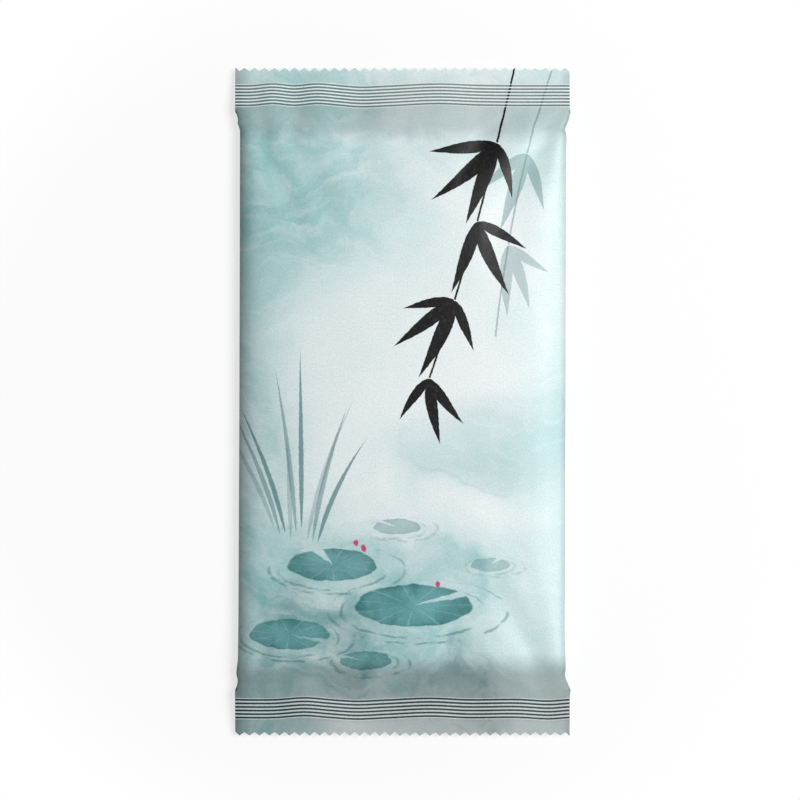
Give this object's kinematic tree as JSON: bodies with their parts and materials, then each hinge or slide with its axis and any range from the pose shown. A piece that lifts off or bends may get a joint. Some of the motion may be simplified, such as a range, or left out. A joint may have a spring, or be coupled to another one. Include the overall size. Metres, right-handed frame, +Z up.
{
  "type": "single wet wipe flow pack",
  "caption": "Sealed flow-wrap sachet holding one folded wet wipe: pillow body, fin seal on the back, crimped and zig-zag cut end seals.",
  "frame": {"origin": "on the resting surface, under the middle of the pack", "axes": "+X to the pack's right, +Y along the pack towards its top end, +Z up out of the printed front; the pack lies on its back"},
  "size_m": [0.07, 0.14, 0.007],
  "materials": {
    "printed_film": "matte printed film laminate, pale icy teal with darker teal washes, soft satin sheen"
  },
  "bodies": {
    "root": {"wipe_sachet": "printed_film"}
  },
  "joints": []
}
